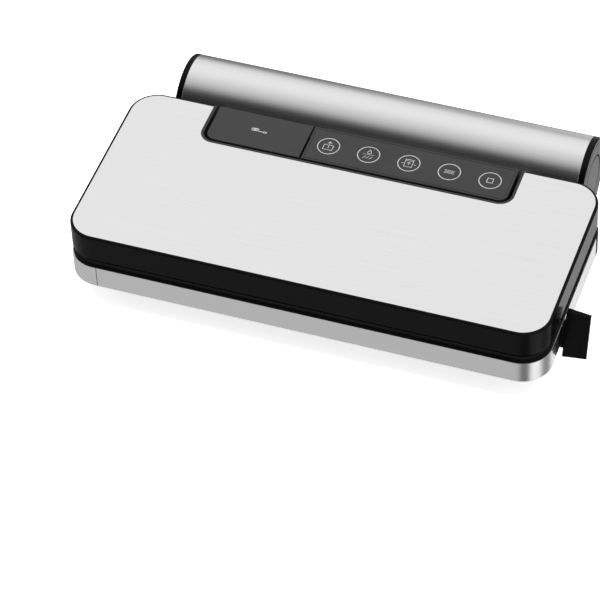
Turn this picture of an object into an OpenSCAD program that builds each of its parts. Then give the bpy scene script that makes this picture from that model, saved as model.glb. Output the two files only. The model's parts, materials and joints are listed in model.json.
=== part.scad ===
// Countertop vacuum sealer with a hinged lid, a key panel, a tube compartment,
// a side lock knob and a rear box for the film roll.
// Drawn with X to the right, Y to the back and Z up, then moved so that the
// origin is the middle of its footprint on the table.

/* [Body] */
// Width over the steel band of the base
body_w = 377.8; // [350:0.1:420]
// Depth of the base, front of the band to the rear wall
body_d = 166.3; // [158:0.1:190]
// Radius of the body's corners in plan
corner_r = 23.4; // [20:0.1:32]
// Height of the lid's top above the table
top_z = 71; // [68:0.5:80]
// Wall thickness of the plastic housings
wall = 2.4; // [2:0.1:3]

/* [Lid] */
// How far the lid stands inside the band's outline
lid_inset = 0.7; // [0.4:0.1:2]
// Height of the lid's side
lid_h = 22.4; // [20:0.1:26]
// Width of the plastic rim round the steel plate
bezel = 2.2; // [1.5:0.1:4]
// Thickness of the steel plate
plate_t = 0.8; // [0.6:0.1:1.2]
// Radius along the lid's top edge
lid_edge_r = 1.4; // [0.8:0.1:2]

/* [Base] */
// Bottom of the steel band above the table
band_z = 21.5; // [20:0.5:26]
// Height of the steel band
band_h = 19; // [16:0.5:22]
// Thickness of the steel band
band_t = 0.8; // [0.6:0.1:1.2]
// How far the band's ends stop short of the rear wall
band_short = 26.1; // [24:0.1:40]
// Width of the dark slit behind the band's ends
band_slit = 0.9; // [0.3:0.1:1.5]
// Width of the seam in the band at the left front corner
band_seam = 0.5; // [0.3:0.1:1]
// Distance from the body's left side to that seam
seam_in = 26.4; // [25:0.1:34]
// Height of the gap between deck and lid, where the bag goes in
slot_h = 4.8; // [4.4:0.1:5.2]
// How far the deck stands back from the band's outer face
deck_inset = 3.6; // [3:0.1:6]
// Height of the rubber feet
foot_h = 4; // [3:0.5:5]
// Radius of the rubber feet
foot_r = 8; // [6:0.5:10]

/* [Sealing] */
// Distance from the body's sides to the ends of the heated sealing bar
seal_side = 33.9; // [31:0.1:48]
// Width of the sealing bar
seal_w = 9; // [7:0.5:10]
// Distance from the lid's front to the middle of the sealing bar
seal_y = 13; // [12:0.5:15]
// Distance from the body's sides to the ends of the vacuum channel
channel_side = 40.9; // [38:0.1:58]
// Width of the vacuum channel
channel_w = 20; // [16:0.5:22]
// Distance from the lid's front to the middle of the channel
channel_y = 41; // [40:0.5:44]
// Depth of the vacuum channel
channel_depth = 6; // [4:0.5:6.5]
// Width of the foam gaskets
gasket_w = 6; // [5:0.5:7]

/* [Panel] */
// Width of the panel island between the lid's two wings
panel_w = 241; // [235:0.1:250]
// Depth of the panel island
panel_d = 36.3; // [34:0.1:38]
// Gap between the lid and the panel island's front
panel_gap = 1.9; // [1.5:0.1:2.5]
// Gap between the lid and the panel island's ends
panel_side_gap = 2.8; // [1.9:0.1:3.5]
// Radius of the panel's front corners
panel_r = 7.5; // [5:0.5:10]
// Width of the flap over the tube compartment
flap_w = 76.5; // [60:0.1:80]
// Width of the dark seam between the flap and the key panel
panel_seam = 1.8; // [0.5:0.1:2.2]
// Thickness of the panel and the flap
panel_t = 2.4; // [2:0.1:3]
// Number of keys
key_n = 5; // [3:1:5]
// Distance from the flap's seam to the first key's middle
key_first = 16.2; // [14:0.1:20]
// Distance from the last key's middle to the panel's right end
key_last = 17.5; // [14:0.1:22]
// Distance from the keys' middles to the panel's back
key_back = 17.9; // [14:0.1:22]
// Radius of a key cap
key_r = 9.15; // [8:0.05:9.6]
// Travel of a key
key_travel = 0.6; // [0.3:0.1:0.8]

/* [Lock] */
// Distance from the lid's front to the lock shaft
lock_y = 48; // [46:0.5:50]
// Height of the lock shaft above the table
lock_z = 30; // [29:0.1:31.5]
// Radius of the lock shaft
shaft_r = 4; // [3:0.1:4.2]
// Length of the knob's wing
wing_l = 35.8; // [28:0.1:38]
// How far the wing stands out from the body's side
wing_out = 18.4; // [14:0.1:22]
// Thickness of the wing at its root
wing_t = 4.8; // [4:0.1:7]
// Thickness of the wing at its outer end
wing_tip_t = 2.4; // [2:0.1:4]
// Distance from the shaft's axis back to the middle of the wing
wing_back = 2.4; // [0:0.1:3]
// Lean of the wing from upright when unlocked
wing_lean = 16; // [0:1:30]
// Radius of the knob's round hub
hub_r = 10.5; // [8:0.1:12]
// Radius of the round plate behind the knob
lock_plate_r = 18.5; // [12:0.5:19]

/* [Roll box] */
// Radius of the roll box
roll_r = 34.1; // [33.5:0.1:36]
// Distance from the body's sides to the ends of the steel cover
roll_side = 27.8; // [24:0.1:40]
// Distance from the base's rear wall to the roll box's axis
roll_out = 38.6; // [38.4:0.1:46]
// Height of the roll box's axis above the table
roll_z = 35.8; // [35.8:0.1:40]
// Offset of the roll box from the body's middle
roll_x = 2; // [-3:0.1:3]
// Thickness of an end cap
cap_t = 4.8; // [3:0.1:6]
// Radius of the inset disc in an end cap
cap_disc_r = 20.8; // [16:0.1:24]
// Thickness of the steel cover
cover_t = 0.7; // [0.5:0.1:1]
// Angle at which the closed cover ends at the back
cover_back = -10; // [-20:1:0]
// Angle at which the closed cover ends at the front
cover_front = 195; // [185:1:196]

/* [Cord inlet] */
// Radius of the hole for the mains lead
cord_r = 3.6; // [3:0.1:4]
// Length of the cord bushing
bushing_l = 12; // [8:1:16]

/* [Clearances] */
// Clearance all round a turning shaft or pin
run_gap = 0.05; // [0.02:0.01:0.1]
// Clearance between pieces that are set into each other
fit_gap = 0.2; // [0.1:0.05:0.4]
// Clearance between pieces that slide or swing past each other
slip_gap = 0.2; // [0.1:0.05:0.4]
// Gap between the closed lid's soft pieces and those of the base
soft_gap = 0.3; // [0.2:0.05:0.5]

/* [Hidden] */

$fn = 64;
round_fn = 128;
eps = 0.01;
over = 1;
black = [0.08, 0.08, 0.085];
panel_grey = [0.27, 0.27, 0.28];
steel = [0.75, 0.75, 0.76];
rubber_grey = [0.2, 0.2, 0.2];
board_green = [0.15, 0.35, 0.2];
core_brown = [0.5, 0.4, 0.25];
press_red = [0.5, 0.1, 0.1];

// Heights of the stack, from the table up
band_top = band_z + band_h;
lid_z = top_z - lid_h;
deck_z = lid_z - slot_h;
deck_t = 2.5;
pan_floor = foot_h + wall;
base_y = body_d / 2 - lid_inset;
base_back = body_d - lid_inset;
band_end = base_back - band_short;

// Lid outlines; its plastic rim stands a little lower than the steel plate
lid_w = body_w - 2 * lid_inset;
lid_d = body_d - 2 * lid_inset;
lid_r = corner_r - lid_inset;
rim_drop = 0.15;
trim_w = bezel + 0.6;
trim_seat_r = 3;
plate_bed = 1.8;
roof_z = top_z - plate_t - plate_bed;
liner_t = 2.2;
liner_z = lid_z + 1.9;

// Sealing: bar, channel and gaskets sink into the deck
seal_l = body_w - 2 * seal_side;
seal_sink = 1.2;
seal_rise = 0.7;
strip_w = 3.5;
strip_t = 0.3;
strip_in = 4;
channel_l = body_w - 2 * channel_side;
channel_skin = 1.6;
gasket_sink = 1.5;
gasket_rise = 2.4;
gasket_in = 2;
press_h = 1.2;

// Panel island
panel_back = base_back - 1;
panel_y = panel_back - panel_d;
notch_w = panel_w + 2 * panel_side_gap;
notch_y = panel_y - panel_gap;
notch_r = panel_r + panel_gap;
seam_at = -panel_w / 2 + flap_w;
flap_x = seam_at - flap_w / 2;
key_y = panel_back - key_back;
key_x = seam_at + panel_seam + key_first;
key_pitch = (panel_w / 2 - key_last - key_x) / max(key_n - 1, 1);
keys_x = [for (i = [0 : key_n - 1]) key_x + i * key_pitch];
groove_in = 1.5;
groove_w = 0.4;
groove_t = 0.3;

// Tube compartment under the flap
flap_axis_y = panel_back - 3.1;
flap_axis_z = top_z - 4.8;
flap_pin_r = 0.9;
flap_ear_r = 2;
flap_ear_w = 4;
flap_knuckle_w = 3.4;
flap_ears = [flap_x - 25, flap_x + 25];
tray_floor_z = deck_z + 5.2;
tray_wall = 2.4;
tray_back_y = panel_back - 8.1;
tray_shelf_z = flap_axis_z - 5.7;
tube_x = flap_x - 16.8;
tube_y = panel_y + 15.7;
nipple_r = 3;
nipple_hole_r = 1.6;
nipple_flange_r = 5.5;
nipple_up = 8;
nipple_down = 5;

// Keys and their board
board_z = top_z - 14;
board_t = 1.6;
board_in = 2;
key_skirt = 0.4;
key_flange_r = key_r + 0.8;
key_flange_t = 1.2;
key_stem_r = 2.2;
key_gap = 0.1;
switch_w = 6;
switch_h = 2.6;
switch_r = 1.6;
switch_top = 0.9;
stem_bottom_z = board_z + board_t + switch_h + switch_top + key_travel + fit_gap;
ring_in = 0.3;
ring_w = 0.7;
ring_t = 0.5;

// Lid hinge: the axis lies high, so the notch clears the panel's front edge
hinge_y = base_back - 5.6;
hinge_z = top_z - 9;
post_w = 7;
post_x = notch_w / 2 + 15.2;
ear_r = 4.5;
ear_w = 4;
hinge_pin_r = 1.5;

// Lock: hooks on the shaft swing back over the strikers' pins
hook_x = body_w / 2 - 18.9;
hook_t = 4;
hook_hub_r = shaft_r + 3.4;
hook_from = 114;
hook_flat = 137;
hook_stem_from = 156;
hook_to = 174;
striker_r = 1.5;
striker_t = 1.6;
striker_w = 6;
striker_back = 4.5;
striker_up = lid_z - lock_z - 0.1;
striker_reach = norm([striker_back, striker_up]);
finger_r = striker_reach + striker_r + 2 * soft_gap;
finger_t = 3.1;
hook_reach = finger_r + finger_t;
hook_play = 1.5;
plate_lip = 1.2;
plate_sink = 2;
knob_gap = 0.3;
hub_t = 1.8;
wing_from = 1.5;
wing_bevel = 1.8;
wing_drop = 2;
wing_tip_bevel = 1.3;

// Roll box, from the outside in
roll_l = body_w - 2 * roll_side;
roll_y = base_back + roll_out;
roll_x0 = roll_x - roll_l / 2;
roll_x1 = roll_x + roll_l / 2;
liner_ro = roll_r - cover_t;
liner_ri = liner_ro - 1;
spigot_r = liner_ri - run_gap;
spigot_l = 6;
cap_edge = 0.8;
cap_sink = 1.4;
cap_groove_r = roll_r - 4;
cradle_ro = spigot_r - 1.75;
cradle_ri = cradle_ro - 2.2;
cradle_from = 198;
cradle_to = 355;
cradle_fit = 0.1;
cradle_front_z = roll_z - 9.8;
bridge_l = roll_l - 22.2;
bridge_top = roll_z + 2;
bridge_mid = roll_z - 11.8;
bridge_low = roll_z - 28.8;
bridge_t = 3;
bridge_cells = 9;
bridge_rib = 4;
rail_y = roll_y - 27.5;
rail_w = 5;
rail_h = 6;
rail_l = roll_l - 2 * spigot_l - 8;
rail_floor = 2.6;
rail_slot_w = 2.2;
rail_end = 3;
slider_x = roll_x0 + spigot_l + 8;
slider_l = 14;
slider_h = 3.4;
blade_t = 0.5;
blade_w = 4;
blade_h = 6;

// Mains lead's way in: a boss in the left rear corner, beside the roll box
cord_x = -body_w / 2 + 13;
cord_z = band_z + 9.5;
bushing_r = cord_r + 2;
bushing_flange_r = bushing_r + 1.4;
bushing_flange_t = 1.6;
boss_r = bushing_r + 2.2;

// Fasteners and feet
screw_r = 1.2;
screw_head_r = 2.8;
screw_head_t = 1.8;
screw_pilot = 11;
base_boss_r = 3.5;
base_screw_spots = [for (x = [-1, 0, 1], y = [channel_y + 21, base_back - 27.6]) [x * (body_w / 2 - 38.9), y]];
lid_screw_l = 9;
lid_screw_spots = [for (y = [channel_y + 25, notch_y - 12.4], i = [-3, -1, 1, 3]) [i * (body_w / 2 - 28.9) / 4, y]];
foot_bead = 0.8;
foot_sink = 1;
foot_spots = [for (x = [-1, 1], y = [channel_y - 1, base_back - 23.6]) [x * (body_w / 2 - 60.9), y]];

// Pump and electronics under the deck
port_x = -60;
port_y = channel_y - 5;
port_head_r = 4.6;
port_head_h = 3.4;
port_down = 9;
hose_r = 4.2;
hose_hole_r = 2.2;
hose_z = 18;
pump_w = 40;
pump_d = 34;
pump_h = 29.6;
pump_x = port_x - 1;
pump_y = channel_y + 55;
pump_rib = 2;
pump_rib_out = 1.5;
pump_front = pump_y - pump_d / 2 - pump_rib_out;
motor_l = 58;
motor_r = 13.5;
motor_z = 22;
motor_end_r = 4;
motor_from = pump_x + pump_w / 2;
power_w = 90;
power_d = 44;
power_x = body_w / 2 - 96.9;
power_y = pump_y;
power_z = pan_floor + 6.6;
power_post_r = 3;
core_w = 42;
core_d = 32;
core_h = 22.4;
coil_w = 26;
coil_d = 40;
coil_h = 28 - 9;
cap_r = 6;
cap_h = 14;

// Middle of the whole part's footprint
x_max = body_w / 2 + wing_from + wing_out;
mid_x = (x_max - body_w / 2) / 2;
mid_y = (roll_y + roll_r - lid_inset) / 2;

module placed() translate([-mid_x, -mid_y, 0]) children();

// Rounded rectangle about the origin
module round_rect(w, d, r) {
    square([w - 2 * r, d], center = true);
    square([w, d - 2 * r], center = true);
    for (x = [-1, 1], y = [-1, 1])
        translate([x * (w / 2 - r), y * (d / 2 - r)]) circle(r);
}

// The body's plan, drawn in by a given amount
module body_plan(inset)
    translate([0, base_y]) round_rect(body_w - 2 * inset, body_d - 2 * inset, corner_r - inset);

module body_slab(inset, z0, z1) translate([0, 0, z0]) linear_extrude(z1 - z0) body_plan(inset);

// Upright block given by its corners
module block(x0, x1, y0, y1, z0, z1) translate([x0, y0, z0]) cube([x1 - x0, y1 - y0, z1 - z0]);

// Block given by its middle, width and depth
module mid_block(x, y, w, d, z0, z1) block(x - w / 2, x + w / 2, y - d / 2, y + d / 2, z0, z1);

// Upright cylinder at a spot, from z0 to z1
module z_rod(r, x, y, z0, z1) translate([x, y, z0]) cylinder(r = r, h = z1 - z0);

// Cylinder along X from x0 to x1
module x_rod(r, x0, x1, y, z) translate([x0, y, z]) rotate([0, 90, 0]) cylinder(r = r, h = x1 - x0);

// Cylinder along Y from y0 to y1
module y_rod(r, x, y0, y1, z) translate([x, y1, z]) rotate([90, 0, 0]) cylinder(r = r, h = y1 - y0);

// Profile in Y and Z, drawn along X from x0 to x1
module x_extrude(x0, x1) translate([x0, 0, 0]) rotate([90, 0, 90]) linear_extrude(x1 - x0) children();

// Sector of a ring between two angles
module ring_sector(ro, ri, a0, a1) {
    steps = ceil((a1 - a0) / 30);
    far = 1.2 * ro;
    difference() {
        intersection() {
            circle(ro, $fn = round_fn);
            polygon(concat([[0, 0]],
                [for (i = [0 : steps]) far * [cos(a0 + (a1 - a0) * i / steps), sin(a0 + (a1 - a0) * i / steps)]]));
        }
        circle(ri, $fn = round_fn);
    }
}

// Half profile of a slab with a rounded top edge
function edge_profile(half, h, f, n = 4) = concat([[0, 0], [half, 0]],
    [for (i = [0 : n]) [half - f + f * cos(90 * i / n), h - f + f * sin(90 * i / n)]], [[0, h]]);

// Rounded rectangular slab with a rounded top edge
module soft_slab(w, d, r, h, f) {
    for (x = [-1, 1], y = [-1, 1])
        translate([x * (w / 2 - r), y * (d / 2 - r), 0]) rotate_extrude() polygon(edge_profile(r, h, f));
    translate([-w / 2 + r, 0, 0]) rotate([90, 0, 90]) linear_extrude(w - 2 * r)
        for (m = [0, 1]) mirror([m, 0]) polygon(edge_profile(d / 2, h, f));
    translate([0, d / 2 - r, 0]) rotate([90, 0, 0]) linear_extrude(d - 2 * r)
        for (m = [0, 1]) mirror([m, 0]) polygon(edge_profile(w / 2, h, f));
}

// The lid's plan, drawn in by a given amount
module lid_plan(inset)
    translate([0, lid_d / 2]) round_rect(lid_w - 2 * inset, lid_d - 2 * inset, lid_r - inset);

// Plan of the vacuum channel, drawn out by a given amount
module channel_plan(grow) translate([0, channel_y])
    round_rect(channel_l + 2 * grow, channel_w + 2 * grow, channel_w / 2 - over + grow);

// Racetrack ring round the vacuum channel
module gasket_plan(grow) difference() {
    channel_plan(gasket_in + gasket_w + grow);
    channel_plan(gasket_in - grow);
}

// Plan of the notch in the lid that the panel island stands in
module notch_plan(grow) notch_shape(notch_w + 2 * grow, notch_y - grow, notch_r + grow);

module notch_shape(w, y0, r) {
    translate([0, y0 + 2 * r]) round_rect(w, 4 * r, r);
    translate([-w / 2, y0 + r]) square([w, body_d]);
}

// Seat in the lid of the trim that lines the notch
module trim_seat(grow)
    notch_shape(notch_w + 2 * (trim_w + grow), notch_y - trim_w - grow, trim_seat_r + grow);

// ---- Base ----

// Pan plan: drawn in at the front and sides by one amount, square to the back
module pan_plan(inset, back) {
    depth = back - inset / 4 - inset + lid_inset;
    translate([0, inset - lid_inset + depth / 2]) hull() for (x = [-1, 1], y = [-1, 1])
        translate([x * (body_w / 2 - inset - pan_r(inset)), y * (depth / 2 - pan_r(inset))])
            circle(pan_r(inset), $fn = 32);
}

function pan_r(inset) = max(corner_r - inset, 10);

pan_slope = 22;

module pan_form(inset) hull() {
    translate([0, 0, band_z - over]) linear_extrude(over) pan_plan(band_t + inset, base_back);
    translate([0, 0, foot_h + inset]) linear_extrude(over) pan_plan(pan_slope + inset, base_back - 5);
}

module base_housing() placed() color(black) difference() {
    union() {
        difference() {
            union() {
                body_slab(band_t, band_z, band_top);
                intersection() {
                    body_slab(0, band_z, band_top);
                    block(-body_w, body_w, band_end + band_slit, body_d, 0, top_z);
                }
                body_slab(deck_inset, band_top - eps, deck_z);
            }
            body_slab(deck_inset + wall, band_z - over, deck_z - deck_t);
        }
        // Underside of the vacuum channel
        translate([0, 0, deck_z - channel_depth - channel_skin]) linear_extrude(channel_depth) channel_plan(gasket_in);
        for (p = base_screw_spots) z_rod(base_boss_r, p[0], p[1], band_z, deck_z - over);
        y_rod(boss_r, cord_x, base_back - bushing_l, base_back, cord_z);
    }
    translate([0, 0, deck_z - channel_depth]) linear_extrude(channel_depth + over) channel_plan(0);
    translate([0, 0, deck_z - gasket_sink]) linear_extrude(gasket_sink + over) gasket_plan(0);
    mid_block(0, seal_y, seal_l + 2 * fit_gap, seal_w, deck_z - seal_sink, deck_z + over);
    for (x = [-hook_x, hook_x])
        mid_block(x, lock_y, hook_t + 2 * hook_play, 2 * hook_reach, deck_z - deck_t - over, deck_z + over);
    for (p = base_screw_spots) z_rod(screw_r, p[0], p[1], band_z - over, band_z + screw_pilot);
    // Hose of the suction port, shaft, knob plate and mains lead
    z_rod(nipple_r + run_gap, port_x, port_y, 0, deck_z);
    x_rod(shaft_r + over, body_w / 2 - 12, body_w, lock_y, lock_z);
    plate_recess(plate_sink);
    y_rod(bushing_r, cord_x, base_back - bushing_l - 2 * over, base_back + over, cord_z);
}

// Round recess of the knob plate, kept below the band's upper edge
module plate_recess(depth) intersection() {
    x_rod(lock_plate_r + fit_gap / 2, body_w / 2 - depth, body_w, lock_y, lock_z);
    block(0, body_w, 0, body_d, band_z - over, band_top - plate_lip);
}

module band_ring() difference() {
    body_slab(0, band_z, band_top);
    body_slab(band_t, band_z - over, band_top + over);
    block(-body_w, body_w, band_end, body_d + over, 0, top_z);
}

seam_x = -body_w / 2 + seam_in;

module base_band() placed() color(steel) difference() {
    band_ring();
    block(-body_w, seam_x + band_seam / 2, -body_d, body_d, 0, top_z);
    plate_recess(3 * plate_sink);
}

module base_band_left() placed() color(steel) intersection() {
    band_ring();
    block(-body_w, seam_x - band_seam / 2, -body_d, body_d, 0, top_z);
}

module bottom_pan() placed() color(black) difference() {
    union() {
        difference() {
            pan_form(0);
            difference() {
                pan_form(wall);
                block(-body_w, body_w, -body_d, body_d, 0, pan_floor);
            }
            block(-body_w / 2 + band_t + wall, body_w / 2 - band_t - wall, corner_r, base_back - corner_r,
                band_z - over - wall, band_z + over);
        }
        for (p = base_screw_spots) z_rod(base_boss_r + 0.5, p[0], p[1], foot_h, band_z);
        for (x = [-1, 1], y = [-1, 1]) z_rod(power_post_r, power_x + x * (power_w / 2 - 5),
            power_y + y * (power_d / 2 - 4), foot_h + over, power_z);
    }
    for (p = base_screw_spots) {
        z_rod(screw_r + 0.4, p[0], p[1], foot_h - over, band_z + over);
        z_rod(screw_head_r + 0.4, p[0], p[1], foot_h - over, foot_h + 3 * screw_head_t);
    }
    for (p = foot_spots) z_rod(foot_r - 1.5, p[0], p[1], foot_h - over, foot_h + foot_sink);
}

module feet() placed() color(rubber_grey) for (p = foot_spots) {
    translate([p[0], p[1], 0]) rotate_extrude()
        polygon([[0, 0], [foot_r - foot_bead, 0], [foot_r, foot_bead], [foot_r, foot_h], [0, foot_h]]);
    z_rod(foot_r - 1.5, p[0], p[1], foot_h - eps, foot_h + foot_sink);
}

// Screw with its head down
module screw(r, head_r, l) {
    cylinder(r = head_r, h = screw_head_t);
    translate([0, 0, screw_head_t - eps]) cylinder(r = r, h = l);
}

module base_screws() placed() color(steel) for (p = base_screw_spots)
    translate([p[0], p[1], foot_h + 2 * screw_head_t]) screw(screw_r, screw_head_r, band_z - foot_h + 3);

module lock_plate() placed() color(black) difference() {
    intersection() {
        x_rod(lock_plate_r, body_w / 2 - plate_sink, body_w / 2 - fit_gap, lock_y, lock_z);
        block(0, body_w, 0, body_d, band_z, band_top - plate_lip - fit_gap / 2);
    }
    x_rod(shaft_r + run_gap, body_w / 2 - 2 * plate_sink, body_w, lock_y, lock_z);
}

bearing_t = 4;
bearing_w = 16;

module shaft_bearings() placed() color(black) for (x = [-hook_x - 7, hook_x + 8]) difference() {
    mid_block(x, lock_y, bearing_t, bearing_w, lock_z - 7, deck_z - deck_t);
    x_rod(shaft_r + run_gap, x - bearing_t, x + bearing_t, lock_y, lock_z);
}

// The lift-out tray lies in the vacuum channel
module drip_tray() placed() color(panel_grey) difference() {
    translate([0, 0, deck_z - channel_depth]) linear_extrude(channel_depth - 0.8) channel_plan(-0.5);
    translate([0, 0, deck_z - channel_depth + 1.2]) linear_extrude(channel_depth) channel_plan(-2);
    z_rod(port_head_r + 0.6, port_x, port_y, 0, deck_z);
}

module lower_gasket() placed() color(rubber_grey)
    translate([0, 0, deck_z - gasket_sink]) linear_extrude(gasket_sink + gasket_rise) gasket_plan(-0.1);

module sealing_bar() placed() color(black)
    x_extrude(-seal_l / 2, seal_l / 2)
        polygon([for (p = [[-1, -seal_sink], [1, -seal_sink], [1, fit_gap], [0.8, seal_rise], [-0.8, seal_rise], [-1, fit_gap]])
            [seal_y + p[0] * (seal_w / 2 - fit_gap / 2), deck_z + p[1]]]);

module heating_strip() placed() color(steel)
    mid_block(0, seal_y, seal_l - 2 * strip_in, strip_w, deck_z + seal_rise, deck_z + seal_rise + strip_t);

module suction_port() placed() color(panel_grey) difference() {
    union() {
        z_rod(port_head_r, port_x, port_y, deck_z - channel_depth, deck_z - channel_depth + port_head_h);
        z_rod(nipple_r, port_x, port_y, deck_z - channel_depth - port_down, deck_z - channel_depth + over);
    }
    z_rod(nipple_hole_r, port_x, port_y, 0, deck_z - channel_depth + port_head_h - 1.2);
    translate([port_x, port_y, deck_z - channel_depth + over]) for (a = [0 : 60 : 300])
        rotate([0, 0, a]) mid_block(port_head_r, 0, 4, 1, 0, 4);
}

module cord_bushing() placed() color(rubber_grey) difference() {
    union() {
        y_rod(bushing_r, cord_x, base_back - bushing_l, base_back, cord_z);
        y_rod(bushing_flange_r, cord_x, base_back, base_back + bushing_flange_t, cord_z);
    }
    y_rod(cord_r, cord_x, base_back - bushing_l - over, base_back + bushing_flange_t + over, cord_z);
}

// ---- Pump and electronics ----

module vacuum_pump() placed() color(panel_grey) difference() {
    union() {
        mid_block(pump_x, pump_y, pump_w, pump_d, pan_floor, pan_floor + pump_h);
        for (i = [1 : 5]) mid_block(pump_x - pump_rib / 2, pump_y, pump_w + pump_rib, pump_d + 2 * pump_rib_out,
            pan_floor + (i - 0.5) * pump_h / 6 + over, pan_floor + (i - 0.5) * pump_h / 6 + over + pump_rib);
        y_rod(hose_hole_r, port_x, pump_front - 7.5, pump_y, hose_z);
    }
    y_rod(hose_hole_r - 1, port_x, pump_front - 8, pump_front, hose_z);
}

module pump_motor() placed() color(steel) {
    x_rod(motor_r, motor_from, motor_from + motor_l, pump_y, motor_z);
    x_rod(motor_end_r, motor_from + motor_l - over, motor_from + motor_l + 3, pump_y, motor_z);
    mid_block(motor_from + motor_l / 2 - over, pump_y, 32, 18, pan_floor, motor_z - motor_r / 2);
}

// The hose drops from the port, passes under the shaft and slips over the pump's nipple
module pump_hose() placed() color(rubber_grey) difference() {
    union() {
        z_rod(hose_r, port_x, port_y, hose_z, deck_z - channel_depth - channel_skin - over);
        translate([port_x, port_y, hose_z]) sphere(r = hose_r);
        y_rod(hose_r, port_x, port_y, pump_front - over, hose_z);
    }
    z_rod(nipple_r, port_x, port_y, deck_z - channel_depth - port_down, deck_z);
    z_rod(hose_hole_r, port_x, port_y, hose_z, deck_z - channel_depth - port_down + over);
    y_rod(hose_hole_r, port_x, port_y, pump_front, hose_z);
}

module power_board() placed() color(board_green)
    mid_block(power_x, power_y, power_w, power_d, power_z, power_z + board_t);

module transformer() placed() color(core_brown) {
    mid_block(power_x - 9, power_y, core_w, core_d, power_z + board_t, power_z + board_t + core_h);
    mid_block(power_x - 9, power_y, coil_w, coil_d, power_z + 5, power_z + coil_h);
    for (y = [-10, 10]) z_rod(cap_r, power_x + 28, power_y + y, power_z + board_t, power_z + board_t + cap_h);
}

// ---- Hinge ----

module hinge_posts() placed() color(black) for (s = [-1, 1]) difference() {
    union() {
        mid_block(s * post_x, hinge_y, post_w, 2 * ear_r, deck_z, hinge_z);
        x_rod(ear_r, s * post_x - post_w / 2, s * post_x + post_w / 2, hinge_y, hinge_z);
    }
    x_rod(hinge_pin_r, s * post_x - post_w, s * post_x + post_w, hinge_y, hinge_z);
}

module hinge_pins() placed() color(steel) for (s = [-1, 1])
    x_rod(hinge_pin_r, s * post_x - post_w / 2 - ear_w, s * post_x + post_w / 2 + ear_w, hinge_y, hinge_z);

// ---- Panel island ----

module island_plan(inset) {
    w = panel_w - 2 * inset;
    r = panel_r - inset;
    y0 = panel_y + inset;
    y1 = panel_back - inset;
    translate([-w / 2 + r, y0]) square([w - 2 * r, r]);
    translate([-w / 2, y0 + r]) square([w, y1 - y0 - r]);
    for (x = [-1, 1]) translate([x * (w / 2 - r), y0 + r]) circle(r);
}

// Walls of the tube compartment, cut away at the back where the flap swings down
module tube_tray() difference() {
    translate([0, 0, tray_floor_z - 2]) linear_extrude(top_z - panel_t - tray_floor_z + 2) island_plan(wall / 2);
    block(seam_at - tray_wall, body_w, 0, body_d, 0, top_z);
    translate([0, 0, tray_floor_z]) linear_extrude(top_z) intersection() {
        island_plan(wall);
        translate([-panel_w, panel_y]) square([panel_w + seam_at - 2 * tray_wall, tray_back_y - panel_y]);
    }
    block(-panel_w, seam_at, tray_back_y + 2, body_d, 0, top_z);
}

module board_posts() for (x = [seam_at + 25, (seam_at + panel_w / 2) / 2 + 6.8, panel_w / 2 - 11.4]) {
    mid_block(x, panel_y + wall + 2, 4, 5, deck_z, board_z);
    mid_block(x, panel_back - wall - 2, 4, 5, deck_z, board_z);
}

module panel_housing() placed() color(black) difference() {
    union() {
        difference() {
            union() {
                difference() {
                    translate([0, 0, deck_z]) linear_extrude(top_z - panel_t - deck_z) island_plan(0.1);
                    translate([0, 0, deck_z - over]) linear_extrude(top_z) island_plan(wall);
                }
                tube_tray();
                board_posts();
            }
            block(-panel_w, seam_at + panel_seam / 2, tray_back_y + 2, body_d, tray_shelf_z, top_z);
        }
        for (x = flap_ears) {
            mid_block(x, (tray_back_y + over + flap_axis_y + flap_ear_r) / 2, flap_ear_w,
                flap_axis_y + flap_ear_r - tray_back_y - over, tray_floor_z, flap_axis_z);
            x_rod(flap_ear_r, x - flap_ear_w / 2, x + flap_ear_w / 2, flap_axis_y, flap_axis_z);
        }
    }
    for (x = flap_ears) x_rod(flap_pin_r, x - flap_ear_w, x + flap_ear_w, flap_axis_y, flap_axis_z);
    z_rod(nipple_r, tube_x, tube_y, 0, top_z);
}

module tube_port() placed() color(panel_grey) difference() {
    union() {
        z_rod(nipple_flange_r, tube_x, tube_y, tray_floor_z, tray_floor_z + 2);
        z_rod(nipple_r, tube_x, tube_y, tray_floor_z - nipple_down, tray_floor_z + nipple_up);
    }
    z_rod(nipple_hole_r, tube_x, tube_y, deck_z - over, top_z);
}

// Field of the keys, right of the seam
module key_field(inset) intersection() {
    island_plan(inset);
    translate([seam_at + panel_seam + inset, panel_y]) square([panel_w, panel_d - inset]);
}

module control_panel() placed() color(panel_grey) difference() {
    translate([0, 0, top_z - panel_t]) linear_extrude(panel_t) key_field(0);
    translate([0, 0, top_z - groove_t]) linear_extrude(panel_t) difference() {
        key_field(groove_in);
        key_field(groove_in + groove_w);
    }
    for (x = keys_x) z_rod(key_r + key_gap, x, key_y, 0, top_z + over);
}

module control_board() placed() color(board_green)
    block(seam_at + 8, panel_w / 2 - wall - board_in, panel_y + wall + board_in, panel_back - wall - board_in / 2,
        board_z, board_z + board_t);

module key_switches() placed() color(steel) for (x = keys_x) {
    mid_block(x, key_y, switch_w, switch_w, board_z + board_t, board_z + board_t + switch_h);
    z_rod(switch_r, x, key_y, board_z + board_t + switch_h - eps, board_z + board_t + switch_h + switch_top);
}

module ring_inlay(h) difference() {
    cylinder(r = key_r - ring_in, h = h);
    translate([0, 0, -over]) cylinder(r = key_r - ring_in - ring_w, h = h + 2 * over);
}

module key_cap(i) placed() color(panel_grey) difference() {
    union() {
        z_rod(key_r, keys_x[i], key_y, top_z - panel_t - key_skirt, top_z);
        z_rod(key_flange_r, keys_x[i], key_y, top_z - panel_t - fit_gap - key_flange_t, top_z - panel_t - fit_gap);
        z_rod(key_stem_r, keys_x[i], key_y, stem_bottom_z, top_z - panel_t);
    }
    translate([keys_x[i], key_y, top_z - ring_t]) ring_inlay(over);
}

module key_ring(i) placed() color("white") translate([keys_x[i], key_y, top_z - ring_t]) ring_inlay(ring_t);

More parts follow.
